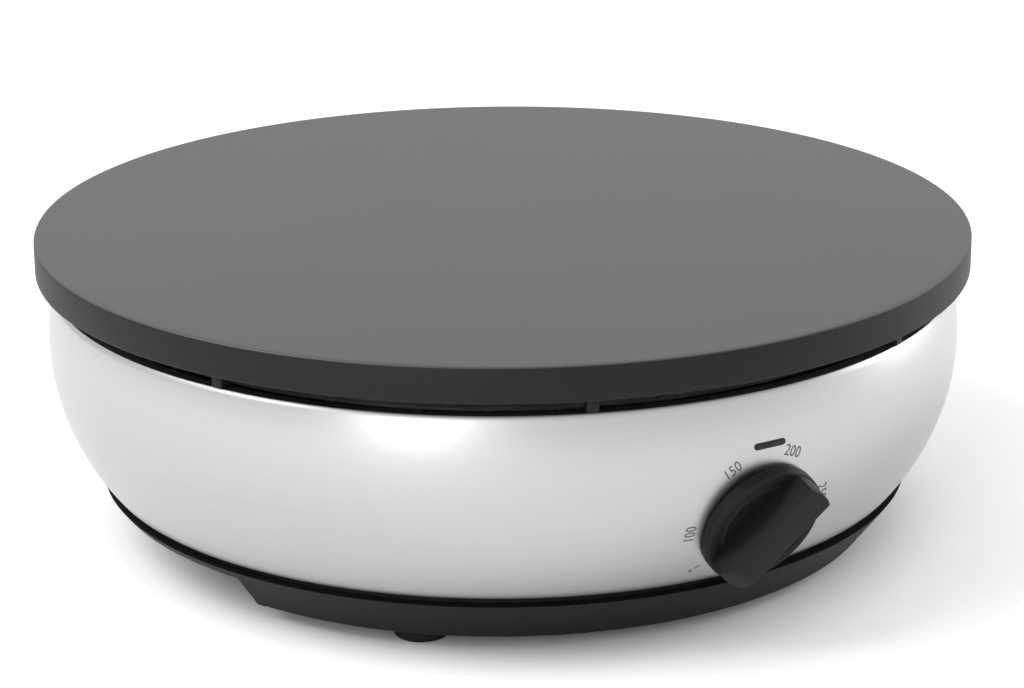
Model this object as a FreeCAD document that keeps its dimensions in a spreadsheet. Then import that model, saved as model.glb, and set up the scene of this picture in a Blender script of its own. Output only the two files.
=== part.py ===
import FreeCAD, Part
import math
import os
import re
import Sketcher

# Electric crepe maker: a cast griddle plate on a bowl-shaped steel shell, over a moulded base.
# All sizes are millimetres. Z is up, the control knob faces -Y, and the table is Z = 0.
# Every piece is drawn about the plate's own axis and then set back by axis_y, so that the
# origin is the middle of the whole object's footprint.

# Driving dimensions, one list for each piece or group of pieces.
SIZES = {
    # cast griddle plate
    "plate_radius": 175.0,
    "plate_rim": 12.7,
    "plate_web": 8.7,
    "plate_edge": 0.9,
    "rim_wall": 9.0,
    "rim_draft": 1.2,
    "lug_rise": 6.3,
    "lug_width": 4.2,
    "lug_depth": 5.0,
    "lug_count": 8,
    "lug_turn": 23.5,
    "rib_depth": 4.0,
    "rib_width": 4.0,
    "rib_start": 14.0,
    "hub_radius": 18.0,
    # tubular heating element, its cast ridge and its clamps
    "ring_radius": 105.0,
    "tube_radius": 3.3,
    "tube_play": 0.1,
    "ridge_half": 6.0,
    "ring_gap_angle": 30.0,
    "pin_length": 20.0,
    "tab_width": 6.3,
    "tab_thick": 0.8,
    "tab_length": 8.0,
    "clamp_turn": 22.5,
    "clamp_reach": 14.0,
    "clamp_width": 11.0,
    "clamp_thick": 1.5,
    "clamp_boss": 4.5,
    "clamp_screw": 2.0,
    "clamp_head": 3.6,
    "clamp_head_rise": 2.2,
    "clamp_grip": 6.0,
    # pressed steel shell
    "shell_rise": 72.0,
    "shell_wall": 1.0,
    "shell_radius": 171.2,
    "bowl_arc": 82.0,
    "bowl_swell": 52.5,
    "lip_width": 5.0,
    "spindle_hole": 5.4,
    # moulded base
    "foot_rise": 5.7,
    "base_rise": 16.4,
    "seat_rise": 2.4,
    "seat_inner": 143.0,
    "seat_outer": 149.0,
    "flange_radius": 153.1,
    "flange_thick": 3.0,
    "plinth_radius": 140.6,
    "plinth_round": 1.5,
    "base_wall": 2.5,
    "grip_wall_radius": 118.0,
    "grip_start": 70.0,
    "grip_end": 130.0,
    "grip_side_wall": 1.3,
    "inlet_wall_radius": 136.0,
    "inlet_angle": 11.0,
    "vent_inner": 74.0,
    "vent_outer": 98.0,
    "vent_width": 4.0,
    "vent_count": 20,
    # feet
    "foot_circle": 126.0,
    "foot_radius": 9.85,
    "foot_round": 1.2,
    "foot_well": 4.6,
    "foot_web": 2.2,
    "foot_boss": 5.5,
    "foot_boss_rise": 7.0,
    "foot_screw": 1.9,
    "foot_head": 3.6,
    "foot_head_rise": 2.0,
    "foot_screw_length": 9.0,
    # tie bolts, spacers and heat shield
    "bolt_circle": 60.0,
    "bolt_radius": 3.0,
    "bolt_play": 0.08,
    "bolt_head": 5.0,
    "bolt_head_rise": 4.0,
    "bolt_sink": 5.3,
    "bolt_hole": 3.3,
    "bolt_bite": 11.0,
    "bolt_boss": 8.0,
    "base_boss_rise": 12.3,
    "spacer_radius": 5.0,
    "shield_gap": 14.8,
    "shield_wall": 0.8,
    "shield_flat": 138.0,
    "shield_radius": 158.0,
    "shield_lift": 3.5,
    "pin_hole": 6.0,
    # thermostat
    "knob_tilt": 20.3,
    "bracket_gap": 2.4,
    "bracket_width": 42.0,
    "bracket_depth": 22.0,
    "bracket_wall": 1.2,
    "bracket_pad": 4.0,
    "bracket_pad_rise": 1.3,
    "body_width": 36.0,
    "body_depth": 27.0,
    "body_length": 22.0,
    "body_round": 3.0,
    "bush_radius": 4.8,
    "spindle_radius": 3.0,
    "spindle_play": 0.05,
    "spindle_reach": 9.5,
    "spindle_tail": 12.0,
    "spindle_flat": 1.5,
    "flat_start": 0.4,
    "mount_screw_offset": 14.0,
    "mount_screw": 2.0,
    "mount_head": 3.5,
    "mount_head_rise": 0.8,
    "tab_offset": 10.0,
    # knob
    "knob_rest": -40.0,
    "grip_upright": 0.919,
    "knob_gap": 1.0,
    "knob_radius": 23.0,
    "knob_skirt_drop": 1.9,
    "knob_wall": 1.8,
    "knob_land": 19.3,
    "knob_land_rise": 3.4,
    "knob_edge": 0.6,
    "knob_cup": 18.9,
    "knob_cup_rise": 2.4,
    "grip_width": 15.0,
    "grip_rise": 11.6,
    "grip_half": 22.3,
    "grip_slope": 5.0,
    "grip_drop": 3.5,
    "grip_round": 1.2,
    "bore_play": 0.05,
    # indicator lens and lamp
    "lens_arc": 30.0,
    "lens_length": 13.0,
    "lens_width": 2.6,
    "lens_play": 0.1,
    "lens_proud": 0.3,
    "lens_flange": 2.0,
    "lens_flange_thick": 1.2,
    "lens_seat": 0.35,
    "lens_sleeve": 4.2,
    "lens_sleeve_length": 8.0,
    "lamp_radius": 2.8,
    "lamp_length": 14.0,
    # terminal block, gland, earth stud and leads
    "block_y": 102.0,
    "block_width": 36.0,
    "block_depth": 18.0,
    "block_rise": 13.0,
    "block_pitch": 11.0,
    "block_screw": 2.6,
    "block_screw_rise": 1.2,
    "gland_rise": 8.0,
    "gland_radius": 3.9,
    "gland_play": 0.1,
    "gland_flange": 5.2,
    "gland_flange_thick": 1.8,
    "gland_bore": 3.1,
    "earth_y": 84.0,
    "earth_stud": 2.0,
    "earth_length": 9.0,
    "earth_nut": 3.6,
    "earth_nut_rise": 3.0,
    "lead_radius": 1.3,
}

# Heights and places that follow from the driving dimensions.
FITS = {
    "z_flange": "foot_rise + base_rise",
    "z_floor": "foot_rise + base_wall",
    "z_ceiling": "z_flange - flange_thick",
    "z_seat": "z_flange + seat_rise",
    "z_lip": "z_seat + shell_rise",
    "z_rim": "z_lip + lug_rise",
    "z_top": "z_rim + plate_rim",
    "z_web": "z_top - plate_web",
    "z_ridge": "z_web - rib_depth",
    "z_clamp": "z_ridge - tube_radius",
    "z_shield": "z_web - shield_gap",
    "z_boss": "foot_rise + base_boss_rise",
    "arc_r": "shell_radius - bowl_arc",
    "arc_z": "z_seat + bowl_swell",
    "shell_foot": "arc_r + sqrt(bowl_arc ^ 2 - bowl_swell ^ 2)",
    "shell_lip": "arc_r + sqrt(bowl_arc ^ 2 - (z_lip - arc_z) ^ 2)",
    "inner_arc": "bowl_arc - shell_wall",
    "knob_y": "arc_r + bowl_arc * cos(knob_tilt)",
    "knob_z": "arc_z - bowl_arc * sin(knob_tilt)",
    "knob_reach": "knob_y + grip_rise * cos(knob_tilt) + grip_half * sin(knob_tilt) * grip_upright",
    "axis_y": "(knob_reach - plate_radius) / 2",
    "lamp_tilt": "knob_tilt - lens_arc / bowl_arc * 57.2958",
    "lamp_y": "arc_r + bowl_arc * cos(lamp_tilt)",
    "lamp_z": "arc_z - bowl_arc * sin(lamp_tilt)",
    "bracket_face": "-shell_wall - bracket_gap",
    "body_face": "bracket_face - bracket_wall",
    "body_back": "body_face - body_length",
    "screw_seat": "0.02 - (mount_screw_offset - mount_head) ^ 2 / (2 * shell_radius)",
    "bush_face": "-shell_wall - 0.4",
    "lens_back": "-shell_wall - lens_seat",
    "gland_z": "foot_rise + gland_rise",
}

doc = FreeCAD.newDocument("crepe_maker")
sheet = doc.addObject("Spreadsheet::Sheet", "Sizes")
for row, (alias, number) in enumerate(SIZES.items(), 1):
    sheet.set(f"A{row}", alias)
    sheet.set(f"B{row}", str(number))
    sheet.setAlias(f"B{row}", alias)
doc.recompute()
fits = doc.addObject("App::VarSet", "Fit")


def bound(text):
    """The expression with each size or fit named in full."""
    def full(match):
        name = match.group(0)
        if name in SIZES:
            return "Sizes." + name
        return "Fit." + name if name in FITS else name
    return re.sub(r"[a-z][a-z0-9_]*", full, str(text))


for alias, formula in FITS.items():
    fits.addProperty("App::PropertyFloat", alias, "Fit")
    fits.setExpression(alias, bound(formula).replace("Fit.", ""))
    doc.recompute()


def value(text):
    """The number that an expression stands for now."""
    return float(sheet.evalExpression(bound(text)))


# Places of the four frames that the pieces are drawn in.
PLATE_AXIS = "placement(vector(0; axis_y; 0); rotationz({turn}))"
KNOB_AXIS = "placement(vector(0; axis_y - knob_y; knob_z); rotationx(90 + knob_tilt) * rotationz({turn}))"
LAMP_AXIS = "placement(vector(0; axis_y - lamp_y; lamp_z); rotationx(90 + lamp_tilt) * rotationz({turn}))"

pieces = []


def new_body(label, frame=PLATE_AXIS, turn="0"):
    """An empty body in one of the frames, turned about that frame's own axis."""
    body = doc.addObject("PartDesign::Body", label)
    body.Label = label
    body.setExpression("Placement", bound(frame.format(turn=turn)))
    pieces.append(body)
    return body


def origin_part(body, role):
    return [part for part in body.Origin.OriginFeatures if part.Role == role][0]


def new_sketch(body, role, place=None):
    """A sketch on one of the body's origin planes, shifted or turned in that plane's own frame."""
    sketch = body.newObject("Sketcher::SketchObject", body.Label + "_sketch")
    sketch.AttachmentSupport = (origin_part(body, role), [""])
    sketch.MapMode = "FlatFace"
    if place:
        sketch.setExpression("AttachmentOffset", bound(place))
    return sketch


def shifted(x="0", y="0", z="0"):
    return f"placement(vector({x}; {y}; {z}); rotationz(0))"


def outline(sketch, corners):
    """A closed outline. A third value bends the edge that leaves its corner: it is the
    radius, and a negative one bulges to the left of the way of travel."""
    spots = [FreeCAD.Vector(value(corner[0]), value(corner[1]), 0) for corner in corners]
    first = sketch.GeometryCount
    for index, corner in enumerate(corners):
        start = spots[index]
        end = spots[(index + 1) % len(spots)]
        if len(corner) == 2:
            sketch.addGeometry(Part.LineSegment(start, end), False)
            continue
        bend = value(corner[2])
        chord = end - start
        side = FreeCAD.Vector(chord.y, -chord.x, 0).normalize()
        half = chord.Length / 2
        sag = abs(bend) - max(bend * bend - half * half, 0.0) ** 0.5
        middle = (start + end) / 2 + side * (sag if bend > 0 else -sag)
        arc = Part.Arc(start, middle, end) if bend > 0 else Part.Arc(end, middle, start)
        sketch.addGeometry(arc, False)
    count = len(corners)
    ends = [(nearest_end(sketch, first + index, spot),
             nearest_end(sketch, first + (index - 1) % count, spot))
            for index, spot in enumerate(spots)]
    for index, corner in enumerate(corners):
        here = first + index
        before = first + (index - 1) % count
        end_here, end_before = ends[index]
        sketch.addConstraint(Sketcher.Constraint("Coincident", before, end_before, here, end_here))
        place_point(sketch, here, end_here, corner[0], corner[1])
    for index, corner in enumerate(corners):
        if len(corner) == 3:
            radius = sketch.addConstraint(
                Sketcher.Constraint("Radius", first + index, abs(value(corner[2]))))
            sketch.setExpression(f"Constraints[{radius}]", bound(f"abs({corner[2]})"))


def nearest_end(sketch, number, spot):
    """Which end of the edge lies at the spot: 1 for its start, 2 for its end."""
    edge = sketch.Geometry[number]
    return 1 if (edge.StartPoint - spot).Length < (edge.EndPoint - spot).Length else 2


def place_point(sketch, edge, end, x, y):
    for kind, text in (("DistanceX", x), ("DistanceY", y)):
        number = sketch.addConstraint(Sketcher.Constraint(kind, -1, 1, edge, end, value(text)))
        sketch.setExpression(f"Constraints[{number}]", bound(text))


def circle(sketch, x, y, radius):
    centre = FreeCAD.Vector(value(x), value(y), 0)
    edge = sketch.addGeometry(Part.Circle(centre, FreeCAD.Vector(0, 0, 1), value(radius)), False)
    place_point(sketch, edge, 3, x, y)
    number = sketch.addConstraint(Sketcher.Constraint("Radius", edge, value(radius)))
    sketch.setExpression(f"Constraints[{number}]", bound(radius))


def rectangle(sketch, left, bottom, right, top):
    outline(sketch, [(left, bottom), (right, bottom), (right, top), (left, top)])


def slot(sketch, x, y, length, width):
    """A rounded slot along the sketch's first axis."""
    reach = f"(({length}) - ({width})) / 2"
    radius = f"({width}) / 2"
    low = f"({y}) - {radius}"
    high = f"({y}) + {radius}"
    left = f"({x}) - {reach}"
    right = f"({x}) + {reach}"
    middle_left = f"({x}) - ({length}) / 2"
    middle_right = f"({x}) + ({length}) / 2"
    outline(sketch, [(left, low), (right, low, radius), (middle_right, y, radius),
                     (right, high), (left, high, radius), (middle_left, y, radius)])


def feature(body, kind, sketch, **settings):
    """A feature on a sketch. A text setting is an expression and is bound."""
    item = body.newObject("PartDesign::" + kind, body.Label + "_" + kind.lower())
    item.Profile = sketch
    for name, setting in settings.items():
        if isinstance(setting, str):
            setattr(item, name, value(setting))
            item.setExpression(name, bound(setting))
        else:
            setattr(item, name, setting)
    doc.recompute()
    return item


def pad(body, sketch, length, **settings):
    return feature(body, "Pad", sketch, Length=length, **settings)


def pocket(body, sketch, length, **settings):
    """A cut, which must take material away."""
    before = body.Shape.Volume
    item = feature(body, "Pocket", sketch, Length=length, **settings)
    if body.Shape.Volume > before - 0.01:
        raise ValueError(body.Label + ": a pocket cuts nothing")
    return item


def spin(body, sketch, angle="360", kind="Revolution"):
    """A full turn, or a part turn to both sides of the sketch, about its upright axis."""
    before = body.Shape.Volume if kind == "Groove" else 0.0
    item = body.newObject("PartDesign::" + kind, body.Label + "_" + kind.lower())
    item.Profile = sketch
    item.ReferenceAxis = (sketch, ["V_Axis"])
    item.Midplane = True
    item.Angle = value(angle)
    item.setExpression("Angle", bound(angle))
    doc.recompute()
    if kind == "Groove" and body.Shape.Volume > before - 0.01:
        raise ValueError(body.Label + ": a groove cuts nothing")
    return item


def polar(body, originals, count):
    """Copies of features, evenly round the body's upright axis."""
    item = body.newObject("PartDesign::PolarPattern", body.Label + "_pattern")
    item.Originals = originals
    item.Axis = (origin_part(body, "Z_Axis"), [""])
    item.Angle = 360
    item.Occurrences = int(value(count))
    item.setExpression("Occurrences", bound(count))
    body.Tip = item
    doc.recompute()
    return item


def turned(label, corners, frame=PLATE_AXIS, turn="0"):
    """A body turned from one outline of (radius, height) corners."""
    body = new_body(label, frame, turn)
    sketch = new_sketch(body, "XZ_Plane")
    outline(sketch, corners)
    spin(body, sketch)
    return body


def turned_set(label, corners, reach, count, turn="0"):
    """Equal turned solids, evenly on a circle round the plate's axis."""
    body = new_body(label, PLATE_AXIS, turn)
    sketch = new_sketch(body, "XZ_Plane", shifted(x=reach))
    outline(sketch, corners)
    polar(body, [spin(body, sketch)], count)
    return body


def screw_outline(shank, head, seat, tip, head_end):
    """Half a pan-head screw: its shank runs from the seat to the tip, and its head to head_end."""
    return [("0", tip), (shank, tip), (shank, seat), (head, seat),
            (head, f"({head_end}) * 0.7 + ({seat}) * 0.3"), (f"({head}) * 0.75", head_end),
            ("0", head_end)]


# Griddle plate: a machined aluminium casting with a turned-down rim, a ridge that carries the
# heating element, ribs, four bolt bosses and eight lugs that stand on the shell's lip.
def griddle_plate():
    body = new_body("griddle_plate")
    sketch = new_sketch(body, "XZ_Plane")
    rim_in = "plate_radius - rim_wall"
    outline(sketch, [
        ("0", "z_web"),
        ("ring_radius - ridge_half - rim_draft", "z_web"), ("ring_radius - ridge_half", "z_ridge"),
        ("ring_radius + ridge_half", "z_ridge"), ("ring_radius + ridge_half + rim_draft", "z_web"),
        (f"{rim_in} - rim_draft", "z_web"), (rim_in, "z_rim"),
        ("plate_radius - plate_edge", "z_rim", "plate_edge"), ("plate_radius", "z_rim + plate_edge"),
        ("plate_radius", "z_top - plate_edge", "plate_edge"), ("plate_radius - plate_edge", "z_top"),
        ("0", "z_top"),
    ])
    spin(body, sketch)

    hub = new_sketch(body, "XY_Plane", shifted(z="z_ridge"))
    circle(hub, "0", "0", "hub_radius")
    pad(body, hub, "rib_depth + 0.5")

    rib = new_sketch(body, "XY_Plane", shifted(z="z_ridge"))
    rectangle(rib, "rib_start", "-rib_width / 2", "plate_radius - rim_wall / 2", "rib_width / 2")
    polar(body, [pad(body, rib, "rib_depth + 0.5")], "lug_count")

    boss = new_sketch(body, "XY_Plane", shifted(z="z_shield"))
    circle(boss, "bolt_circle * cos(45)", "bolt_circle * sin(45)", "bolt_boss")
    polar(body, [pad(body, boss, "shield_gap + 0.5")], "4")

    clamp = new_sketch(body, "XY_Plane", shifted(z="z_clamp"))
    reach = "(ring_radius - clamp_reach)"
    circle(clamp, f"{reach} * cos(clamp_turn)", f"{reach} * sin(clamp_turn)", "clamp_boss")
    polar(body, [pad(body, clamp, "z_web - z_clamp + 0.5")], "4")

    lug = new_sketch(body, "XY_Plane", "placement(vector(0; 0; z_lip); rotationz(lug_turn))")
    rectangle(lug, "shell_lip - lug_depth", "-lug_width / 2", "shell_lip", "lug_width / 2")
    polar(body, [pad(body, lug, "lug_rise + 0.5")], "lug_count")

    channel = new_sketch(body, "XZ_Plane")
    circle(channel, "ring_radius", "z_ridge", "tube_radius + tube_play")
    spin(body, channel, kind="Groove")

    tapped = new_sketch(body, "XY_Plane", shifted(z="z_shield"))
    circle(tapped, "bolt_circle * cos(45)", "bolt_circle * sin(45)", "bolt_radius + bolt_play")
    polar(body, [pocket(body, tapped, "bolt_bite + 1.5", Reversed=True)], "4")

    screwed = new_sketch(body, "XY_Plane", shifted(z="z_clamp"))
    circle(screwed, f"{reach} * cos(clamp_turn)", f"{reach} * sin(clamp_turn)",
           "clamp_screw + bolt_play")
    polar(body, [pocket(body, screwed, "clamp_grip + 1", Reversed=True)], "4")



# Heating element: a sheathed tube bent to most of a ring, with two cold pins that turn down
# through the heat shield and end in flat tabs.
def heating_element():
    body = new_body("heating_element", turn="90")
    ring = new_sketch(body, "XZ_Plane", "placement(vector(0; 0; 0); rotationy(180))")
    circle(ring, "ring_radius", "z_ridge", "tube_radius")
    spin(body, ring, "360 - ring_gap_angle")
    for side in ("-", ""):
        x = "ring_radius * cos(ring_gap_angle / 2)"
        y = f"{side}ring_radius * sin(ring_gap_angle / 2)"
        ball = body.newObject("PartDesign::AdditiveSphere", "pin_corner")
        ball.setExpression("Radius", bound("tube_radius"))
        ball.AttachmentSupport = (origin_part(body, "XY_Plane"), [""])
        ball.MapMode = "FlatFace"
        ball.setExpression("AttachmentOffset", bound(shifted(x, y, "z_ridge")))
        pin = new_sketch(body, "XY_Plane", shifted(z="z_ridge"))
        circle(pin, x, y, "tube_radius")
        pad(body, pin, "pin_length", Reversed=True)
        tab = new_sketch(body, "XY_Plane", shifted(z="z_ridge - pin_length"))
        rectangle(tab, f"{x} - tab_thick / 2", f"{y} - tab_width / 2",
                  f"{x} + tab_thick / 2", f"{y} + tab_width / 2")
        pad(body, tab, "tab_length", Reversed=True)


# Clamps: flat steel straps that hold the element up in its channel, each under one screw.
def element_clamps():
    body = new_body("element_clamps", turn="clamp_turn")
    strap = new_sketch(body, "XY_Plane", shifted(z="z_clamp"))
    rectangle(strap, "ring_radius - clamp_reach - clamp_boss", "-clamp_width / 2",
              "ring_radius + tube_radius", "clamp_width / 2")
    circle(strap, "ring_radius - clamp_reach", "0", "clamp_screw + bolt_play")
    polar(body, [pad(body, strap, "clamp_thick", Reversed=True)], "4")
    seat = "z_clamp - clamp_thick"
    turned_set("clamp_screws", screw_outline("clamp_screw", "clamp_head", seat,
               "z_clamp + clamp_grip", f"{seat} - clamp_head_rise"),
               "ring_radius - clamp_reach", "4", "clamp_turn")


# Heat shield: a spun steel dish between the plate's bolt bosses and the spacer tubes.
def heat_shield():
    body = new_body("heat_shield")
    sketch = new_sketch(body, "XZ_Plane")
    low = "z_shield - shield_wall"
    outline(sketch, [("0", low), ("shield_flat", low), ("shield_radius", f"{low} + shield_lift"),
                     ("shield_radius", "z_shield + shield_lift"), ("shield_flat", "z_shield"),
                     ("0", "z_shield")])
    spin(body, sketch)
    bolts = new_sketch(body, "XY_Plane", shifted(z="z_shield"))
    circle(bolts, "bolt_circle * cos(45)", "bolt_circle * sin(45)", "bolt_hole")
    polar(body, [pocket(body, bolts, "shield_wall")], "4")
    pins = new_sketch(body, "XY_Plane", shifted(z="z_shield"))
    for side in ("-", ""):
        circle(pins, f"{side}ring_radius * sin(ring_gap_angle / 2)",
               "ring_radius * cos(ring_gap_angle / 2)", "pin_hole")
    circle(pins, "0", "earth_y", "earth_stud + bolt_play")
    pocket(body, pins, "shield_wall")


# Steel shell: one drawn bowl, curved in a single arc, with a lip turned in at each edge.
def steel_shell():
    body = new_body("steel_shell")
    sketch = new_sketch(body, "XZ_Plane")
    inner_low = "arc_r + sqrt(inner_arc ^ 2 - (bowl_swell - shell_wall) ^ 2)"
    inner_high = "arc_r + sqrt(inner_arc ^ 2 - (z_lip - shell_wall - arc_z) ^ 2)"
    outline(sketch, [
        ("seat_inner", "z_seat"), ("shell_foot", "z_seat", "bowl_arc"), ("shell_lip", "z_lip"),
        ("shell_lip - lip_width", "z_lip"), ("shell_lip - lip_width", "z_lip - shell_wall"),
        (inner_high, "z_lip - shell_wall", "-inner_arc"), (inner_low, "z_seat + shell_wall"),
        ("seat_inner", "z_seat + shell_wall")])
    spin(body, sketch)
    knob = new_sketch(body, "XZ_Plane", "placement(vector(0; knob_z; knob_y); rotationx(knob_tilt))")
    circle(knob, "0", "0", "spindle_hole")
    for side in ("-", ""):
        circle(knob, side + "mount_screw_offset", "0", "mount_screw + bolt_play")
    pocket(body, knob, "shell_wall * 3")
    lens = new_sketch(body, "XZ_Plane", "placement(vector(0; lamp_z; lamp_y); rotationx(lamp_tilt))")
    slot(lens, "0", "0", "lens_length", "lens_width")
    pocket(body, lens, "shell_wall * 3")


def recess(body, middle, half, depth, wall):
    """A hollow under the flange: a block that fills the base's side, then its cut."""
    place = f"placement(vector(0; 0; 0); rotationy({middle}))"
    block = new_sketch(body, "XZ_Plane", place)
    outline(block, [(f"{depth} - base_wall", "foot_rise"), ("plinth_radius", "foot_rise"),
                    ("flange_radius", "z_flange"), (f"{depth} - base_wall", "z_flange")])
    spin(body, block, f"2 * ({half} + {wall})")
    cut = new_sketch(body, "XZ_Plane", place)
    rectangle(cut, depth, "0", "flange_radius + base_wall", "z_ceiling")
    spin(body, cut, f"2 * ({half})", "Groove")


# Base pan: a moulded tray with a sloped plinth, a flange, a raised seat for the shell, a hand
# recess in each side, a small recess behind for the mains inlet, bosses and vent slots.
def base_pan():
    body = new_body("base_pan")
    sketch = new_sketch(body, "XZ_Plane")
    slope = "(flange_radius - plinth_radius) / base_rise"
    outline(sketch, [
        ("0", "foot_rise"), ("plinth_radius - plinth_round", "foot_rise", "plinth_round * 1.6"),
        (f"plinth_radius + plinth_round * {slope}", "foot_rise + plinth_round"),
        ("flange_radius", "z_flange"), ("seat_outer", "z_flange"), ("seat_outer", "z_seat"),
        ("seat_inner", "z_seat"), ("seat_inner", "z_ceiling"),
        (f"flange_radius - flange_thick * {slope} - base_wall", "z_ceiling"),
        (f"plinth_radius + base_wall * ({slope} - 1)", "z_floor"), ("0", "z_floor")])
    spin(body, sketch)
    middle = "(grip_start + grip_end) / 2 - 90"
    half = "(grip_end - grip_start) / 2"
    recess(body, middle, half, "grip_wall_radius", "grip_side_wall")
    recess(body, f"180 - ({middle})", half, "grip_wall_radius", "grip_side_wall")
    recess(body, "90", "inlet_angle / 2", "inlet_wall_radius", "grip_side_wall")

    for reach, radius, rise, bore, well, depth in (
            ("foot_circle", "foot_boss", "foot_boss_rise", "foot_screw + bolt_play", None, None),
            ("bolt_circle", "bolt_boss", "base_boss_rise", "bolt_hole", "bolt_head + 0.3",
             "bolt_sink")):
        x = f"{reach} * cos(45)"
        boss = new_sketch(body, "XY_Plane", shifted(z="foot_rise"))
        circle(boss, x, x, radius)
        polar(body, [pad(body, boss, rise)], "4")
        hole = new_sketch(body, "XY_Plane", shifted(z="foot_rise"))
        circle(hole, x, x, bore)
        polar(body, [pocket(body, hole, rise, Reversed=True)], "4")
        if well:
            sink = new_sketch(body, "XY_Plane", shifted(z="foot_rise"))
            circle(sink, x, x, well)
            polar(body, [pocket(body, sink, depth, Reversed=True)], "4")

    vent = new_sketch(body, "XY_Plane", "placement(vector(0; 0; z_floor); rotationz(360 / vent_count / 2))")
    slot(vent, "(vent_inner + vent_outer) / 2", "0", "vent_outer - vent_inner", "vent_width")
    polar(body, [pocket(body, vent, "base_wall")], "vent_count")
    inlet = new_sketch(body, "XZ_Plane", shifted(z="base_wall / 2 - inlet_wall_radius"))
    circle(inlet, "0", "gland_z", "gland_radius + gland_play")
    pocket(body, inlet, "base_wall * 3", Midplane=True)


# Feet: turned rubber, each with a well for its screw's head.
def feet():
    for label, angle in (("foot_front_right", "-45"), ("foot_rear_right", "45"),
                         ("foot_rear_left", "135"), ("foot_front_left", "225")):
        turned_set(label, [("foot_screw + bolt_play", "foot_rise"),
                           ("foot_screw + bolt_play", "foot_rise - foot_web"),
                           ("foot_well", "foot_rise - foot_web"), ("foot_well", "0"),
                           ("foot_radius - foot_round", "0", "foot_round"),
                           ("foot_radius", "foot_round"), ("foot_radius", "foot_rise")],
                   "foot_circle", "1", angle)
    seat = "foot_rise - foot_web"
    turned_set("foot_screws", screw_outline("foot_screw", "foot_head", seat,
               f"{seat} + foot_screw_length", f"{seat} - foot_head_rise"), "foot_circle", "4", "45")


# Tie bolts pull the plate down on the shell and the shell down on the base. Tubes round them
# carry the heat shield.
def tie_bolts():
    seat = "foot_rise + bolt_sink"
    turned_set("tie_bolts", screw_outline("bolt_radius", "bolt_head", seat,
               "z_shield + bolt_bite", f"{seat} - bolt_head_rise"), "bolt_circle", "4", "45")
    turned_set("spacer_tubes", [("bolt_hole", "z_boss"), ("spacer_radius", "z_boss"),
                                ("spacer_radius", "z_shield - shield_wall"),
                                ("bolt_hole", "z_shield - shield_wall")], "bolt_circle", "4", "45")


# Thermostat: a steel bracket on two screws through the shell, a moulded body behind it and a
# brass bush that the spindle turns in.
def thermostat():
    bracket = new_body("thermostat_bracket", KNOB_AXIS)
    plate = new_sketch(bracket, "XY_Plane", shifted(z="body_face"))
    rectangle(plate, "-bracket_width / 2", "-bracket_depth / 2", "bracket_width / 2",
              "bracket_depth / 2")
    circle(plate, "0", "0", "bush_radius + bolt_play")
    pad(bracket, plate, "bracket_wall")
    pads = new_sketch(bracket, "XY_Plane", shifted(z="bracket_face"))
    for side in ("-", ""):
        circle(pads, side + "mount_screw_offset", "0", "bracket_pad")
    pad(bracket, pads, "bracket_pad_rise")
    holes = new_sketch(bracket, "XY_Plane", shifted(z="body_face"))
    for side in ("-", ""):
        circle(holes, side + "mount_screw_offset", "0", "mount_screw + bolt_play")
    pocket(bracket, holes, "bracket_wall + bracket_gap", Reversed=True)

    body = new_body("thermostat_body", KNOB_AXIS)
    block = new_sketch(body, "XY_Plane", shifted(z="body_face"))
    x = "body_width / 2"
    y = "body_depth / 2"
    outline(block, [(f"-{x}", f"body_round - {y}", "body_round"), (f"body_round - {x}", f"-{y}"),
                    (f"{x} - body_round", f"-{y}", "body_round"), (x, f"body_round - {y}"),
                    (x, f"{y} - body_round", "body_round"), (f"{x} - body_round", y),
                    (f"body_round - {x}", y, "body_round"), (f"-{x}", f"{y} - body_round")])
    pad(body, block, "body_length", Reversed=True)
    tabs = new_sketch(body, "XY_Plane", shifted(z="body_back"))
    for middle in ("-tab_offset", "tab_offset"):
        rectangle(tabs, f"{middle} - tab_width / 2", "-tab_thick / 2", f"{middle} + tab_width / 2",
                  "tab_thick / 2")
    pad(body, tabs, "tab_length", Reversed=True)
    bore = new_sketch(body, "XY_Plane", shifted(z="body_face"))
    circle(bore, "0", "0", "spindle_radius + spindle_play * 4")
    for side in ("-", ""):
        circle(bore, side + "mount_screw_offset", "0", "mount_screw + bolt_play")
    pocket(body, bore, "spindle_tail + spindle_play * 6")

    turned("thermostat_bush", [
        ("spindle_radius + spindle_play", "body_face"), ("bush_radius", "body_face"),
        ("bush_radius", "bush_face"), ("spindle_radius + spindle_play", "bush_face")], KNOB_AXIS)
    body = new_body("thermostat_screws", KNOB_AXIS)
    offset = "mount_screw_offset"
    for side in ("-", ""):
        shank = new_sketch(body, "XY_Plane", shifted(z="body_face - body_length / 3"))
        circle(shank, side + offset, "0", "mount_screw")
        pad(body, shank, "body_length / 3 - body_face + screw_seat")
        head = new_sketch(body, "XY_Plane", shifted(z="screw_seat"))
        circle(head, side + offset, "0", "mount_head")
        pad(body, head, "mount_head_rise")

    body = turned("thermostat_spindle", [
        ("0", "body_face - spindle_tail"), ("spindle_radius", "body_face - spindle_tail"),
        ("spindle_radius", "spindle_reach - 0.6"), ("spindle_radius - 0.6", "spindle_reach"),
        ("0", "spindle_reach")], KNOB_AXIS, "knob_rest")
    flat = new_sketch(body, "XY_Plane", shifted(z="flat_start"))
    rectangle(flat, "-spindle_radius * 1.1", "spindle_flat", "spindle_radius * 1.1",
              "spindle_radius * 1.1")
    pocket(body, flat, "spindle_reach - flat_start", Reversed=True)


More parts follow.
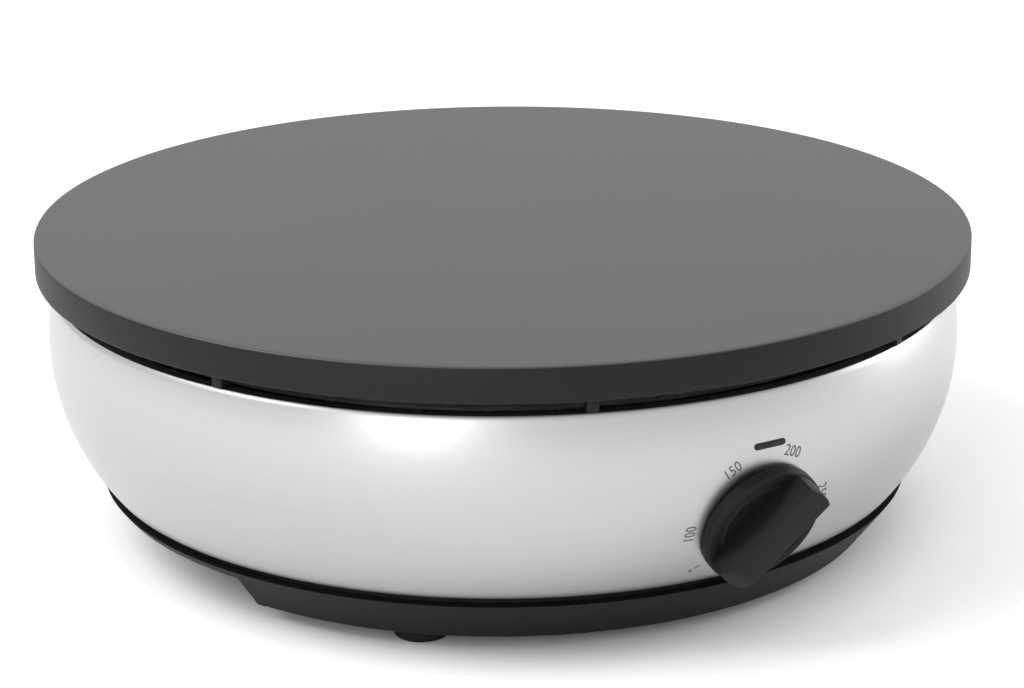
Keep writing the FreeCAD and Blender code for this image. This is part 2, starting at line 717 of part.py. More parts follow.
# Control knob: moulded, with a skirt that reaches round the thermostat's screws, a flat outer
# land, a shallow cup and a grip bar right across it. It is bored to a D that fits the spindle.
def control_knob():
    body = turned("control_knob", [
        ("0", "knob_gap"), ("knob_radius - knob_wall", "knob_gap"),
        ("knob_radius - knob_wall", "knob_gap - knob_skirt_drop"),
        ("knob_radius", "knob_gap - knob_skirt_drop"),
        ("knob_radius", "knob_land_rise - knob_edge"),
        ("knob_radius - knob_edge", "knob_land_rise"), ("knob_land", "knob_land_rise"),
        ("knob_cup", "knob_cup_rise"), ("0", "knob_cup_rise")], KNOB_AXIS, "knob_rest")
    bar = new_sketch(body, "XZ_Plane")
    half = "grip_width / 2"
    foot = "knob_cup_rise - knob_edge"
    outline(bar, [(f"-{half}", foot), (half, foot), (half, "grip_rise - grip_round", "grip_round"),
                  (f"{half} - grip_round", "grip_rise"),
                  (f"grip_round - {half}", "grip_rise", "grip_round"),
                  (f"-{half}", "grip_rise - grip_round")])
    pad(body, bar, "2 * grip_half", Midplane=True)
    ends = new_sketch(body, "XY_Plane", shifted(z="knob_land_rise"))
    circle(ends, "0", "0", "knob_radius + grip_width")
    circle(ends, "0", "0", "grip_half")
    pocket(body, ends, "grip_rise - knob_land_rise", Reversed=True)
    slope = new_sketch(body, "YZ_Plane")
    outline(slope, [("-grip_half", "grip_rise - grip_drop"),
                    ("grip_slope - grip_half", "grip_rise"), ("-knob_radius", "grip_rise"),
                    ("-knob_radius", "grip_rise - grip_drop")])
    pocket(body, slope, "2 * grip_width", Midplane=True)
    bore = new_sketch(body, "XY_Plane", shifted(z="knob_gap"))
    radius = "(spindle_radius + bore_play)"
    flat = "(spindle_flat + bore_play)"
    side = f"sqrt({radius} ^ 2 - {flat} ^ 2)"
    outline(bore, [(side, flat), (f"-{side}", flat, radius), ("0", f"-{radius}", radius)])
    pocket(body, bore, "spindle_reach - knob_gap + 0.3", Reversed=True)


# Indicator: a clear lens with a flange and sleeve behind the shell, and a neon lamp in it.
def indicator():
    body = new_body("indicator_lens", LAMP_AXIS)
    flange = new_sketch(body, "XY_Plane", shifted(z="lens_back"))
    slot(flange, "0", "0", "lens_length + 2 * lens_flange", "lens_sleeve * 2")
    pad(body, flange, "lens_flange_thick", Reversed=True)
    window = new_sketch(body, "XY_Plane", shifted(z="lens_back"))
    slot(window, "0", "0", "lens_length - 2 * lens_play", "lens_width - 2 * lens_play")
    pad(body, window, "lens_proud - lens_back")
    sleeve = new_sketch(body, "XY_Plane", shifted(z="lens_back - lens_flange_thick"))
    circle(sleeve, "0", "0", "lens_sleeve")
    pad(body, sleeve, "lens_sleeve_length", Reversed=True)
    bore = new_sketch(body, "XY_Plane", shifted(z="lens_back - lens_flange_thick - lens_sleeve_length"))
    circle(bore, "0", "0", "lamp_radius + lens_play")
    pocket(body, bore, "lens_sleeve_length", Reversed=True)
    end = "lens_back - lens_flange_thick"
    turned("indicator_lamp", [
        ("0", f"{end} - lamp_length"), ("lamp_radius", f"{end} - lamp_length"),
        ("lamp_radius", f"{end} - lamp_radius"), ("lamp_radius / 3", end), ("0", end)], LAMP_AXIS)


# Mains parts: the gland in the rear wall, the terminal block and the shield's earth stud.
def mains_parts():
    wall = "inlet_wall_radius"
    body = new_body("cord_gland")
    sketches = []
    for radius, start, length in (
            ("gland_radius", f"{wall} - base_wall - gland_play * 5", "base_wall + gland_play * 6"),
            ("gland_flange", f"{wall} + gland_play", "gland_flange_thick"),
            ("gland_flange", f"{wall} - base_wall - gland_play * 5", "-gland_flange_thick")):
        sketch = new_sketch(body, "XZ_Plane", shifted(z=f"-({start})"))
        circle(sketch, "0", "gland_z", radius)
        sketches.append(pad(body, sketch, f"abs({length})", Reversed=not length.startswith("-")))
    bore = new_sketch(body, "XZ_Plane", shifted(z=f"-{wall}"))
    circle(bore, "0", "gland_z", "gland_bore")
    pocket(body, bore, "base_wall * 8", Midplane=True)

    body = new_body("terminal_block")
    block = new_sketch(body, "XY_Plane", shifted(z="z_floor"))
    rectangle(block, "-block_width / 2", "block_y - block_depth / 2", "block_width / 2",
              "block_y + block_depth / 2")
    pad(body, block, "block_rise")
    wells = new_sketch(body, "XY_Plane", shifted(z="z_floor + block_rise"))
    for place in ("-block_pitch", "0", "block_pitch"):
        circle(wells, place, "block_y", "block_screw + 2 * bolt_play")
    pocket(body, wells, "block_rise / 2")
    screws = new_body("terminal_screws")
    heads = new_sketch(screws, "XY_Plane", shifted(z="z_floor + block_rise / 2"))
    for place in ("-block_pitch", "0", "block_pitch"):
        circle(heads, place, "block_y", "block_screw")
    pad(screws, heads, "block_rise / 2 - block_screw_rise")
    turned_set("earth_stud", screw_outline("earth_stud", "earth_nut", "z_shield",
               "z_shield - earth_length", "z_shield + earth_nut_rise"), "earth_y", "1", "90")
    under = "z_shield - shield_wall"
    turned_set("earth_nut", [("earth_stud + bolt_play", under), ("earth_nut", under),
                             ("earth_nut", f"{under} - earth_nut_rise"),
                             ("earth_stud + bolt_play", f"{under} - earth_nut_rise")],
               "earth_y", "1", "90")


def lead(label, points):
    """An insulated lead along straight runs that tangent arcs join."""
    spots = [FreeCAD.Vector(*point) for point in points]
    edges = []
    here = spots[0]
    for before, corner, after in zip(spots, spots[1:], spots[2:]):
        way_in = (corner - before).normalize()
        way_out = (after - corner).normalize()
        turn = way_in.getAngle(way_out)
        cut = 0.4 * min((corner - before).Length, (after - corner).Length)
        start = corner - way_in * cut
        end = corner + way_out * cut
        radius = cut / math.tan(turn / 2)
        centre = start + (way_out - way_in * (way_in * way_out)).normalize() * radius
        middle = centre + (corner - centre).normalize() * radius
        edges += [Part.makeLine(here, start), Part.Arc(start, middle, end).toShape()]
        here = end
    edges.append(Part.makeLine(here, spots[-1]))
    ring = Part.makeCircle(value("lead_radius"), spots[0], spots[1] - spots[0])
    item = doc.addObject("Part::Feature", label)
    item.Label = label
    item.Shape = Part.Wire(edges).makePipeShell([Part.Wire(ring)], True, True)
    item.setExpression("Placement", bound(PLATE_AXIS.format(turn="0")))
    pieces.append(item)


# Leads: from the terminal block to the thermostat, from there to one pin of the element, back
# from the other pin, and from the block to the earth stud.
def leads():
    block_top = value("z_floor + block_rise + lead_radius * 0.2")
    block_y = value("block_y")
    pitch = value("block_pitch")
    tab_x = value("tab_offset")
    tab = value("body_back - tab_length - 0.3")
    tilt = value("knob_tilt")
    turn = FreeCAD.Rotation(FreeCAD.Vector(1, 0, 0), 90 + tilt)
    face = FreeCAD.Vector(0, -value("knob_y"), value("knob_z"))
    pin_x = value("ring_radius * sin(ring_gap_angle / 2)")
    pin_y = value("ring_radius * cos(ring_gap_angle / 2)")
    pin_end = value("z_ridge - pin_length - tab_length - 0.3")

    def from_tab(side, depth):
        return face + turn.multVec(FreeCAD.Vector(side * tab_x, 0, tab - depth))

    for label, side, tail in (
            ("supply_lead", -1, [(-pitch, block_y - 6, block_top + 22), (-pitch, block_y, block_top + 12),
                                 (-pitch, block_y, block_top)]),
            ("switched_lead", 1, [(pin_x - 3, pin_y - 22, 44), (pin_x, pin_y, 54),
                                  (pin_x, pin_y, pin_end)])):
        lead(label, [tuple(from_tab(side, 0)), tuple(from_tab(side, 18)),
                     (side * tab_x * 1.2, -70, 58), (side * tab_x, 0, 46)] + tail)
    lead("return_lead", [(-pin_x, pin_y, pin_end), (-pin_x, pin_y, pin_end - 16),
                         (-pin_x / 2, pin_y + 11, 50), (0, block_y, block_top + 14),
                         (0, block_y, block_top)])
    lead("earth_lead", [(pitch, block_y, block_top), (pitch, block_y - 1, block_top + 16),
                        (pitch / 2, value("earth_y") + 6, 52), (0, value("earth_y"), 66),
                        (0, value("earth_y"), value("z_shield - earth_length - 0.3"))])


for build in (griddle_plate, heating_element, element_clamps, heat_shield, steel_shell, base_pan,
              feet, tie_bolts, thermostat, control_knob, indicator, mains_parts, leads):
    build()
doc.recompute()

for item in doc.Objects:
    if "Invalid" in item.State or "Error" in item.State:
        raise ValueError(f"{item.Name} is not sound: {item.State}")
for piece in pieces:
    if piece.Shape.isNull() or not piece.Shape.isValid() or not piece.Shape.Solids:
        raise ValueError(piece.Label + " has no sound solid")
os.makedirs("parts", exist_ok=True)
for piece in pieces:
    piece.Shape.exportStep(f"parts/{piece.Label}.step")
    box = piece.Shape.optimalBoundingBox()
    print(piece.Label, len(piece.Shape.Solids), round(piece.Shape.Volume), box)
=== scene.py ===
import math
import bmesh
import bpy
from mathutils import Matrix, Vector


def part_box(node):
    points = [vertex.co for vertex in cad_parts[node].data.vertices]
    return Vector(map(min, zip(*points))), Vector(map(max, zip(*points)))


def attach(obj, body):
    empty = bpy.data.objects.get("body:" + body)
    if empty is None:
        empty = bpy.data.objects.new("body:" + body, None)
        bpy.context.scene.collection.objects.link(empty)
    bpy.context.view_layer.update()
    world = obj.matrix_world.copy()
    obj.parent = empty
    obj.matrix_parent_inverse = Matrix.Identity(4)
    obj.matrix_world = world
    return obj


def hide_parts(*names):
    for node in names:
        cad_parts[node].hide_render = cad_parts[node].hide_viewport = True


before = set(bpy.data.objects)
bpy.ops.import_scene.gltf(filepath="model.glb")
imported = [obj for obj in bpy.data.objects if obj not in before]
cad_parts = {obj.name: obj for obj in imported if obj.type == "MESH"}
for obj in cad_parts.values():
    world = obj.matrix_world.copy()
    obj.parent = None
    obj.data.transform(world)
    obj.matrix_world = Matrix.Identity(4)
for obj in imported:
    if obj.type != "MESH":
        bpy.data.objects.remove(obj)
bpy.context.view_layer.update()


# Griddle plate: one aluminium casting, turned on its face and rim and sprayed with a dark
# satin non-stick coating. It stands on eight cast lugs, and four bolts hold it down.
class Wire:
    """A shader socket that adds Math nodes when it is used in an expression."""

    def __init__(self, finish, socket):
        self.finish = finish
        self.socket = socket

    def joined(self, operation, first, second):
        node = self.finish.node("ShaderNodeMath", {"operation": operation}, {0: first, 1: second})
        return Wire(self.finish, node.outputs[0])

    def __add__(self, other):
        return self.joined("ADD", self, other)

    def __radd__(self, other):
        return self.joined("ADD", other, self)

    def __mul__(self, other):
        return self.joined("MULTIPLY", self, other)


class Finish:
    """A material with one Principled shader, whose patterns lie on Object coordinates."""

    def __init__(self, name, color, roughness, metallic=0.0, specular=0.5):
        self.material = bpy.data.materials.new(name)
        self.material.use_nodes = True
        self.tree = self.material.node_tree
        self.shader = self.tree.nodes["Principled BSDF"]
        self.color = (*color, 1.0)
        self.shader.inputs["Base Color"].default_value = self.color
        self.shader.inputs["Roughness"].default_value = roughness
        self.shader.inputs["Metallic"].default_value = metallic
        self.shader.inputs["Specular IOR Level"].default_value = specular
        self.place = self.tree.nodes.new("ShaderNodeTexCoord").outputs["Object"]

    def node(self, kind, settings, sockets):
        node = self.tree.nodes.new(kind)
        for name, setting in settings.items():
            setattr(node, name, setting)
        for name, content in sockets.items():
            if isinstance(content, Wire):
                content = content.socket
            if isinstance(content, bpy.types.NodeSocket):
                self.tree.links.new(content, node.inputs[name])
            else:
                node.inputs[name].default_value = content
        return node

    def noise(self, scale, detail=3.0, stretch=(1.0, 1.0, 1.0)):
        """Even noise from 0 to 1, stretched along the object's axes."""
        turned = self.node("ShaderNodeMapping", {}, {"Vector": self.place, "Scale": stretch})
        grain = self.node("ShaderNodeTexNoise", {}, {
            "Vector": turned.outputs[0], "Scale": scale, "Detail": detail, "Roughness": 0.55})
        return Wire(self, grain.outputs["Fac"])

    def shade(self, mask, dark, light):
        """The base colour runs from dark to light times its own colour."""
        ends = [tuple(channel * share for channel in self.color[:3]) + (1.0,)
                for share in (dark, light)]
        mix = self.node("ShaderNodeMix", {"data_type": "RGBA"}, {"Factor": mask})
        mix.inputs[6].default_value = ends[0]
        mix.inputs[7].default_value = ends[1]
        self.tree.links.new(mix.outputs[2], self.shader.inputs["Base Color"])

    def rough(self, wire):
        self.tree.links.new(wire.socket, self.shader.inputs["Roughness"])

    def bump(self, height, strength, distance):
        node = self.node("ShaderNodeBump", {}, {
            "Height": height, "Strength": strength, "Distance": distance})
        self.tree.links.new(node.outputs["Normal"], self.shader.inputs["Normal"])


def finished(shape, name, finish, body, nodes, crease=32.0):
    """Makes an object of a bmesh: smooth but for its creases, riding on a body."""
    for face in shape.faces:
        face.smooth = True
    for edge in shape.edges:
        edge.smooth = edge.is_manifold and edge.calc_face_angle(0.0) < math.radians(crease)
    mesh = bpy.data.meshes.new(name)
    shape.to_mesh(mesh)
    shape.free()
    mesh.materials.append(finish.material)
    piece = bpy.data.objects.new(name, mesh)
    bpy.context.scene.collection.objects.link(piece)
    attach(piece, body)
    if nodes:
        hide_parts(*nodes)
    return piece


def arc(radius, height, bend, start, end, steps):
    """Points of an arc in the (radius, height) half plane, from one angle to another."""
    angles = [math.radians(start + (end - start) * step / steps) for step in range(steps + 1)]
    return [(radius + bend * math.cos(angle), height + bend * math.sin(angle)) for angle in angles]


def spun(profile, axis_y, steps):
    """A closed ring or disc turned from (radius, height) points about an upright axis."""
    shape = bmesh.new()
    corners = [shape.verts.new((radius, axis_y, height)) for radius, height in profile]
    edges = [shape.edges.new(pair) for pair in zip(corners, corners[1:])]
    if profile[0][0] > 0 and profile[-1][0] > 0:
        edges.append(shape.edges.new((corners[-1], corners[0])))
    bmesh.ops.spin(shape, geom=corners + edges, cent=(0, axis_y, 0), axis=(0, 0, 1),
                   angle=math.tau, steps=steps, use_merge=True)
    bmesh.ops.remove_doubles(shape, verts=shape.verts, dist=1e-6)
    bmesh.ops.recalc_face_normals(shape, faces=shape.faces)
    return shape


def block(shape, low, high, matrix, bevel, segments=3):
    """A box with rounded edges, added to a bmesh and placed by a matrix."""
    box = bmesh.new()
    bmesh.ops.create_cube(box, size=1.0)
    size = Vector(high) - Vector(low)
    middle = (Vector(high) + Vector(low)) / 2
    bmesh.ops.scale(box, vec=size, verts=box.verts)
    bmesh.ops.translate(box, vec=middle, verts=box.verts)
    bmesh.ops.bevel(box, geom=box.edges, offset=bevel, affect="EDGES", segments=segments,
                    profile=0.5, material=-1)
    bmesh.ops.transform(box, matrix=matrix, verts=box.verts)
    part = bpy.data.meshes.new("part")
    box.to_mesh(part)
    box.free()
    shape.from_mesh(part)
    bpy.data.meshes.remove(part)


low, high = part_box("griddle_plate")
plate_radius = (high[0] - low[0]) / 2
axis_y = (high[1] + low[1]) / 2
plate_top = high[2]
rim_rise = 0.0127
rim_bottom = plate_top - rim_rise
rim_wall = 0.009
web = 0.0087
edge = 0.0009
lug_count = 8
lug_turn = math.radians(23.5)
lug_width = 0.0042
lug_depth = 0.005
lug_round = 0.0005
rim_draft = 0.0012
root_depth = 0.001
shell_low, shell_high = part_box("steel_shell")
lip_radius = 0.16885

coating = Finish("griddle_coating", (0.027, 0.0262, 0.0275), 0.3, specular=0.52)
speckle = coating.noise(2600.0)
cloud = coating.noise(9.0, 2.0)
coating.shade(speckle * 0.6 + cloud * 0.4, 0.75, 1.3)
coating.rough(0.31 + speckle * 0.1 + cloud * 0.05)
coating.bump(speckle, 0.12, 0.00012)
# The rim, the lugs and the underside take a darker, duller copy of the same coating: painted shade
# for the faces turned away from the light.
shaded_rim_coat = Finish("rim_painted_shade", (0.010, 0.0097, 0.0105), 0.5, specular=0.16)
rim_speckle = shaded_rim_coat.noise(2600.0)
shaded_rim_coat.shade(rim_speckle, 0.8, 1.25)
shaded_rim_coat.rough(0.44 + rim_speckle * 0.14)
shaded_rim_coat.bump(rim_speckle, 0.15, 0.00012)

turning = 5
plate = spun(
    [(0.0, plate_top - web), (plate_radius - rim_wall - rim_draft, plate_top - web),
     (plate_radius - rim_wall, rim_bottom)]
    + arc(plate_radius - edge, rim_bottom + edge, edge, -90, 0, turning)
    + arc(plate_radius - edge, plate_top - edge, edge, 0, 90, turning)
    + [(plate_radius * share, plate_top) for share in (0.98, 0.75, 0.5, 0.25, 0.0)],
    axis_y, 256)
for number in range(lug_count):
    turn = Matrix.Translation((0, axis_y, 0)) @ Matrix.Rotation(
        lug_turn + math.tau * number / lug_count, 4, "Z")
    block(plate, (lip_radius - lug_depth, -lug_width / 2, shell_high[2]),
          (lip_radius, lug_width / 2, rim_bottom + root_depth), turn, lug_round)
coated = finished(plate, "coated_plate", coating, "housing",
                  ["griddle_plate"])
# Faces below the edge of the top take the darker copy of the coating, which is painted shade.
coated.data.materials.append(shaded_rim_coat.material)
for face in coated.data.polygons:
    if face.center.z < plate_top - edge * 0.5:
        face.material_index = 1


# Steel shell: one bowl drawn from stainless sheet and brushed round, with a lip turned in at
# the top, where the plate's lugs stand, and one at the bottom, which sits on the base.
bowl_arc = 0.082
bowl_middle = (shell_high[0] - shell_low[0]) / 2 - bowl_arc
bowl_swell = 0.0525
bowl_level = shell_low[2] + bowl_swell
shell_wall = 0.001
foot_angle = math.degrees(math.asin((shell_low[2] - bowl_level) / bowl_arc))
lip_angle = math.degrees(math.asin((shell_high[2] - bowl_level) / bowl_arc))
seat_inner = 0.143
lip_inner = lip_radius - 0.005
lip_round = 0.0006
round_over = 0.7

steel = Finish("brushed_shell", (0.48, 0.472, 0.482), 0.3, metallic=1.0)
brushing = steel.noise(3.0, 4.0, (3.0, 3.0, 900.0))
wear = steel.noise(14.0, 3.0)
steel.shade(brushing * 0.7 + wear * 0.3, 0.9, 1.08)
steel.rough(0.27 + brushing * 0.12 + wear * 0.05)
steel.bump(brushing, 0.06, 0.0002)

inner = bowl_arc - shell_wall
shell = spun(
    [(seat_inner, shell_low[2])]
    + arc(bowl_middle, bowl_level, bowl_arc, foot_angle + round_over, lip_angle - round_over, 72)
    + [(lip_radius - lip_round, shell_high[2]), (lip_inner, shell_high[2]),
       (lip_inner, shell_high[2] - shell_wall)]
    + arc(bowl_middle, bowl_level, inner, lip_angle - 1.5, foot_angle + 1.5, 24)
    + [(seat_inner, shell_low[2] + shell_wall)],
    axis_y, 288)
finished(shell, "brushed_bowl", steel, "housing", ["steel_shell"])


# Dial: pad-printed on the shell round the knob in dark grey. Four plain numbers, and a dot and
# a tick for off.
knob_tilt = math.radians(20.3)
dial_radius = 0.0255
figure_height = 0.0042
print_rise = 0.00006
figures = (("100", -90.0), ("150", -32.5), ("200", 21.3), ("250", 78.3))
off_angle = -131.8
dot_radius = 0.0006
dot_step = 0.0034
tick_size = (0.0005, 0.0022, 1.0)
tick_step = 0.0008
figure_squeeze = (0.8, 1.0, 1.0, 1.0)
letter_to_cap = 1.38

ink = Finish("dial_ink", (0.05, 0.05, 0.055), 0.5)
ink_grain = ink.noise(4000.0)
ink.shade(ink_grain, 0.8, 1.4)
ink.rough(0.42 + ink_grain * 0.16)


def on_shell(across, along, rise):
    """The point of the shell that is across and along its surface from the knob's centre."""
    slope = knob_tilt - along / bowl_arc
    reach = bowl_middle + (bowl_arc + rise) * math.cos(slope)
    side = across / (bowl_middle + bowl_arc * math.cos(slope))
    return Vector((reach * math.sin(side), axis_y - reach * math.cos(side),
                   bowl_level - (bowl_arc + rise) * math.sin(slope)))


def dial_place(clockwise, outward):
    angle = math.radians(clockwise)
    return Vector((outward * math.sin(angle), outward * math.cos(angle)))


marks = bmesh.new()
for figure, angle in figures:
    words = bpy.data.curves.new("figure", "FONT")
    words.body = figure
    words.size = figure_height * letter_to_cap
    words.align_x = "CENTER"
    words.resolution_u = 4
    words.space_character = 1.05
    lettering = bpy.data.objects.new("figure", words)
    flat = bpy.data.meshes.new_from_object(lettering)
    turn = Matrix.Rotation(-math.radians(angle), 4, "Z") @ Matrix.Diagonal(figure_squeeze)
    flat.transform(Matrix.Translation(dial_place(angle, dial_radius).to_3d()) @ turn)
    marks.from_mesh(flat)
    bpy.data.objects.remove(lettering)
    bpy.data.meshes.remove(flat)
dot = bmesh.ops.create_circle(marks, cap_ends=True, radius=dot_radius, segments=20)["verts"]
bmesh.ops.translate(marks, vec=dial_place(off_angle, dial_radius + dot_step).to_3d(), verts=dot)
tick = bmesh.ops.create_grid(marks, x_segments=1, y_segments=3, size=0.5)["verts"]
bmesh.ops.scale(marks, vec=tick_size, verts=tick)
bmesh.ops.rotate(marks, matrix=Matrix.Rotation(-math.radians(off_angle), 3, "Z"), verts=tick)
bmesh.ops.translate(marks, vec=dial_place(off_angle, dial_radius + tick_step).to_3d(), verts=tick)
bmesh.ops.remove_doubles(marks, verts=marks.verts, dist=1e-7)
for vertex in marks.verts:
    vertex.co = on_shell(vertex.co.x, vertex.co.y, print_rise)
finished(marks, "dial_print", ink, "housing", [])


# Base pan and feet: a black moulded tray in fine spark texture, with a hand recess in each
# side, on four rubber feet that screws hold through their wells.
plastic = Finish("base_plastic", (0.007, 0.007, 0.0077), 0.5, specular=0.13)
spark = plastic.noise(3200.0)
plastic.shade(spark, 0.8, 1.2)
plastic.rough(0.46 + spark * 0.14)
plastic.bump(spark, 0.25, 0.0002)
rubber = Finish("foot_rubber", (0.008, 0.008, 0.0088), 0.75, specular=0.15)
rubber_grain = rubber.noise(2400.0)
rubber.rough(0.66 + rubber_grain * 0.2)
rubber.shade(rubber_grain, 0.8, 1.3)
rubber.bump(rubber_grain, 0.2, 0.0002)


def dressed(node, name, finish, crease=28.0):
    """A copy of a CAD node with its triangles merged, so that its round faces shade smoothly."""
    shape = bmesh.new()
    shape.from_mesh(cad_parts[node].data)
    bmesh.ops.remove_doubles(shape, verts=shape.verts, dist=1e-6)
    bmesh.ops.dissolve_degenerate(shape, edges=shape.edges, dist=1e-6)
    return finished(shape, name, finish, "housing", [node], crease)


dressed("base_pan", "moulded_base", plastic)
for place in ("front_left", "front_right", "rear_left", "rear_right"):
    dressed("foot_" + place, "rubber_foot_" + place, rubber)


# Control knob: moulded in black, with a flat outer land, a shallow cup with a raised bead and a
# thick grip bar across it. It is pressed on the thermostat's spindle and turns with it.
knob_face = Matrix.Translation((0, axis_y - bowl_middle - bowl_arc * math.cos(knob_tilt),
                                bowl_level - bowl_arc * math.sin(knob_tilt)))
knob_face = knob_face @ Matrix.Rotation(math.pi / 2 + knob_tilt, 4, "X")
knob_rest = math.radians(-40.0)
knob_gap = 0.001
knob_radius = 0.02295
skirt_foot = -0.00088
skirt_inner = 0.0211
skirt_edge = 0.0003
bore_radius = 0.0033
land_edge = 0.0008
land_radius = 0.0193
land_rise = 0.0034
cup_floor = 0.0024
cup_edge = 0.0003
bead_radius = 0.0161
bead_half = 0.0006
dish_radius = 0.0100
dish_floor = cup_floor - 0.0009
grip_half_width = 0.00745
grip_half_length = 0.02225
grip_rise = 0.01158
slope_run = 0.0050
slope_drop = 0.0035
grip_foot = 0.0013
grip_edge = 0.0009

knob_skin = Finish("knob_plastic", (0.0075, 0.007, 0.0082), 0.42, specular=0.13)
knob_grain = knob_skin.noise(3600.0)
rubbed = knob_skin.noise(160.0, 2.0)
knob_skin.shade(knob_grain * 0.5 + rubbed * 0.5, 0.8, 1.3)
knob_skin.rough(0.38 + knob_grain * 0.1 + rubbed * 0.08)
knob_skin.bump(knob_grain, 0.2, 0.00015)

knob = spun(
    [(bore_radius, knob_gap), (skirt_inner, knob_gap), (skirt_inner, skirt_foot),
     (knob_radius - skirt_edge, skirt_foot), (knob_radius, skirt_foot + skirt_edge)]
    + arc(knob_radius - land_edge, land_rise - land_edge, land_edge, 0, 90, 5)
    + arc(land_radius + cup_edge, land_rise - cup_edge, cup_edge, 90, 180, 3)
    + [(land_radius - 0.0004, cup_floor + 0.0001), (land_radius - 0.0008, cup_floor - 0.0002)]
    + arc(bead_radius, cup_floor - 0.0003, bead_half, 35, 150, 6)
    + [(bead_radius - 0.0010, cup_floor - 0.0004), (dish_radius, dish_floor),
       (bore_radius, dish_floor)],
    0.0, 112)
bar = bmesh.new()
outline = []
width_angle = math.degrees(math.asin(grip_half_width / grip_half_length))
for quarter in (90, 270):
    for step in range(-4, 5):
        turned = math.radians(quarter + width_angle * step / 4)
        outline.append(bar.verts.new((grip_half_length * math.cos(turned),
                                      grip_half_length * math.sin(turned), grip_foot)))
foot_face = bar.faces.new(outline)
top = bmesh.ops.extrude_face_region(bar, geom=[foot_face])["geom"]
top_corners = [item for item in top if isinstance(item, bmesh.types.BMVert)]
bmesh.ops.translate(bar, vec=(0, 0, grip_rise - grip_foot), verts=top_corners)
slant = Vector((0, -slope_drop, slope_run)).normalized()
cut = bmesh.ops.bisect_plane(bar, geom=bar.verts[:] + bar.edges[:] + bar.faces[:], dist=1e-7,
                             plane_co=(0, -grip_half_length, grip_rise - slope_drop), plane_no=slant,
                             clear_outer=True)
bmesh.ops.holes_fill(bar, edges=[item for item in cut["geom_cut"]
                                 if isinstance(item, bmesh.types.BMEdge)])
bmesh.ops.recalc_face_normals(bar, faces=bar.faces)
rim_edges = [edge for edge in bar.edges
             if edge.calc_face_angle(0.0) > math.radians(25) and
             max(vertex.co.z for vertex in edge.verts) > land_rise]
bmesh.ops.bevel(bar, geom=rim_edges, offset=grip_edge, affect="EDGES", segments=4, profile=0.5,
                material=-1)
part = bpy.data.meshes.new("part")
bar.to_mesh(part)
bar.free()
knob.from_mesh(part)
bpy.data.meshes.remove(part)
bmesh.ops.transform(knob, matrix=knob_face @ Matrix.Rotation(knob_rest, 4, "Z"), verts=knob.verts)
finished(knob, "moulded_knob", knob_skin, "knob", ["control_knob"])


# Indicator lens: a smoked clear bar that snaps into the shell's slot from behind, with the
# lamp in its sleeve. It stands a little proud, and it is dark because the lamp is off.
lens_arc = 0.0300
lens_tilt = knob_tilt - lens_arc / bowl_arc
lens_face = Matrix.Translation((0, axis_y - bowl_middle - bowl_arc * math.cos(lens_tilt),
                                bowl_level - bowl_arc * math.sin(lens_tilt)))
lens_face = lens_face @ Matrix.Rotation(math.pi / 2 + lens_tilt, 4, "X")
lens_length = 0.0128
lens_width = 0.0024
lens_root = 0.0013
lens_proud = 0.00028
crown_round = 0.0002

smoked = Finish("smoked_lens", (0.012, 0.010, 0.011), 0.2, specular=0.2)
lens_grain = smoked.noise(900.0)
smoked.rough(0.14 + lens_grain * 0.08)
smoked.shade(lens_grain, 0.9, 1.1)
lens = bmesh.new()
ends = []
for side in (1, -1):
    for step in range(9):
        angle = math.radians((-90 if side > 0 else 90) + 180 * step / 8)
        ends.append(lens.verts.new((side * (lens_length - lens_width) / 2
                                    + lens_width / 2 * math.cos(angle),
                                    lens_width / 2 * math.sin(angle), -lens_root)))
window = lens.faces.new(ends)
raised = [item for item in bmesh.ops.extrude_face_region(lens, geom=[window])["geom"]
          if isinstance(item, bmesh.types.BMVert)]
bmesh.ops.translate(lens, vec=(0, 0, lens_root + lens_proud), verts=raised)
bmesh.ops.recalc_face_normals(lens, faces=lens.faces)
crown = [edge for edge in lens.edges if all(vertex.co.z > 0 for vertex in edge.verts)]
bmesh.ops.bevel(lens, geom=crown, offset=crown_round, affect="EDGES", segments=2, profile=0.5,
                material=-1)
bmesh.ops.transform(lens, matrix=lens_face, verts=lens.verts)
finished(lens, "smoked_window", smoked, "housing", ["indicator_lens"])


# Inner pieces and fasteners: plated steel, brass, glazed ceramic and silicone leads, all as
# the CAD has them. They are bolted, screwed or clipped between the base and the plate.
plain = {
    "zinc": ((0.55, 0.55, 0.53), 0.32, 1.0, 700.0, ("element_clamps", "clamp_screws",
             "foot_screws", "tie_bolts", "spacer_tubes", "thermostat_bracket",
             "thermostat_screws", "thermostat_spindle")),
    "shield_sheet": ((0.42, 0.41, 0.40), 0.36, 1.0, 60.0, ("heat_shield",)),
    "sheath": ((0.16, 0.13, 0.12), 0.45, 1.0, 300.0, ("heating_element",)),
    "brass": ((0.62, 0.45, 0.18), 0.3, 1.0, 500.0, ("thermostat_bush", "terminal_screws",
              "earth_stud", "earth_nut")),
    "ceramic": ((0.72, 0.69, 0.62), 0.35, 0.0, 400.0, ("thermostat_body", "terminal_block")),
    "lamp_glass": ((0.5, 0.2, 0.12), 0.12, 0.0, 200.0, ("indicator_lamp",)),
    "gland_rubber": ((0.013, 0.013, 0.014), 0.7, 0.0, 2400.0, ("cord_gland",)),
    "brown_silicone": ((0.12, 0.05, 0.025), 0.5, 0.0, 900.0, ("supply_lead", "switched_lead")),
    "blue_silicone": ((0.03, 0.1, 0.32), 0.5, 0.0, 900.0, ("return_lead",)),
    "green_silicone": ((0.14, 0.28, 0.04), 0.5, 0.0, 900.0, ("earth_lead",)),
}
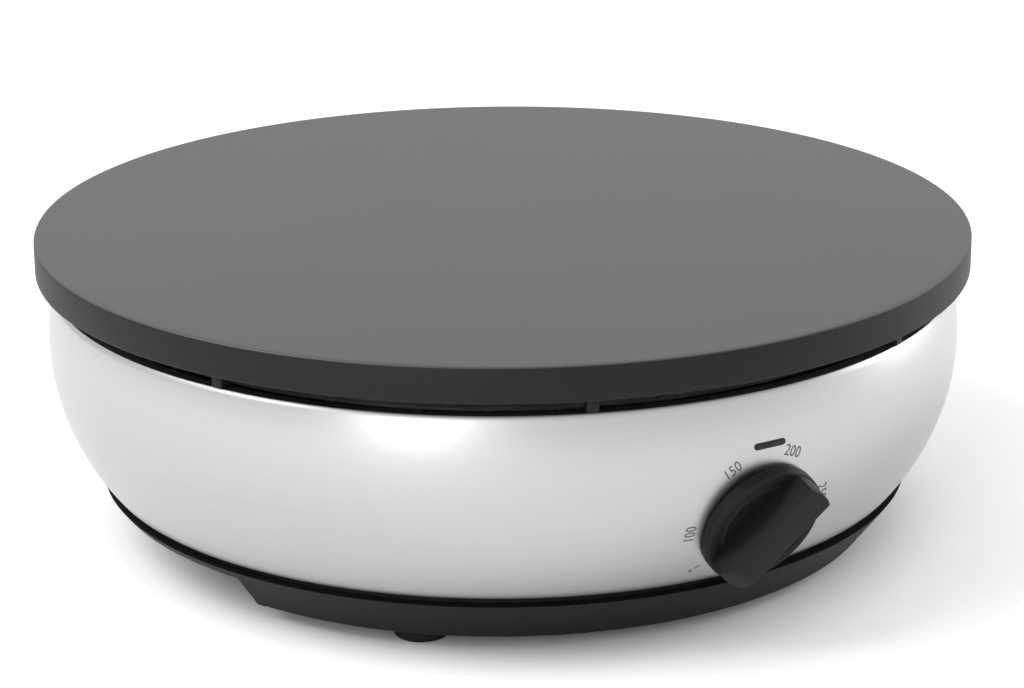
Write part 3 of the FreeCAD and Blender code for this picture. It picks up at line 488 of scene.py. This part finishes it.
for name, (color, roughness, metallic, scale, nodes) in plain.items():
    finish = Finish(name, color, roughness, metallic)
    grain = finish.noise(scale)
    finish.shade(grain, 0.82, 1.12)
    finish.rough(roughness - 0.06 + grain * 0.16)
    finish.bump(grain, 0.12, 0.0001)
    for node in nodes:
        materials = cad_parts[node].data.materials
        if not materials:
            materials.append(finish.material)
        for number in range(len(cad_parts[node].material_slots)):
            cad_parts[node].material_slots[number].link = "OBJECT"
            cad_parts[node].material_slots[number].material = finish.material


# Studio: a white sweep for a floor and soft white light, none of it part of the object.
paper = Finish("white_sweep", (0.93, 0.93, 0.93), 0.9, specular=0.1)
paper_grain = paper.noise(30.0)
paper.shade(paper_grain, 0.995, 1.005)
floor_shape = bmesh.new()
bmesh.ops.create_grid(floor_shape, x_segments=1, y_segments=1, size=6.0)
floor_mesh = bpy.data.meshes.new("studio_floor")
floor_shape.to_mesh(floor_mesh)
floor_shape.free()
floor_mesh.materials.append(paper.material)
floor = bpy.data.objects.new("studio_floor", floor_mesh)
bpy.context.scene.collection.objects.link(floor)

world = bpy.data.worlds.new("studio")
bpy.context.scene.world = world
world.use_nodes = True
world.node_tree.nodes["Background"].inputs["Color"].default_value = (1.0, 1.0, 1.0, 1.0)
world.node_tree.nodes["Background"].inputs["Strength"].default_value = 1.0
bpy.context.scene.view_settings.view_transform = "Standard"


def softbox(name, place, target, size, power):
    light = bpy.data.lights.new(name, "AREA")
    light.shape = "RECTANGLE"
    light.size, light.size_y = size
    light.energy = power
    lamp = bpy.data.objects.new(name, light)
    bpy.context.scene.collection.objects.link(lamp)
    lamp.location = place
    lamp.rotation_euler = (Vector(target) - Vector(place)).to_track_quat("-Z", "Y").to_euler()


softbox("key", (-1.3, 0.3, 1.5), (0, 0, 0.05), (1.2, 1.2), 26.0)
softbox("left_strip", (-1.5, -1.2, 0.5), (0, 0, 0.06), (0.5, 1.0), 9.0)
softbox("right_strip", (1.6, -0.4, 0.5), (0, 0, 0.06), (0.5, 1.0), 9.0)


# Camera: where the photograph was taken from, 1.2 metres off and 16 degrees up.
camera = bpy.data.cameras.new("camera")
camera.sensor_width = 36.0
camera.lens = 110.94
viewer = bpy.data.objects.new("camera", camera)
bpy.context.scene.collection.objects.link(viewer)
forward = Vector((0.49836, 0.80803, -0.31422)).normalized()
right = Vector((0.85014, -0.52653, -0.00567)).normalized()
upward = right.cross(forward)
basis = Matrix((right, upward, -forward)).transposed().to_4x4()
viewer.matrix_world = Matrix.Translation((-0.5971, -0.9743 + axis_y, 0.4440)) @ basis
bpy.context.scene.camera = viewer
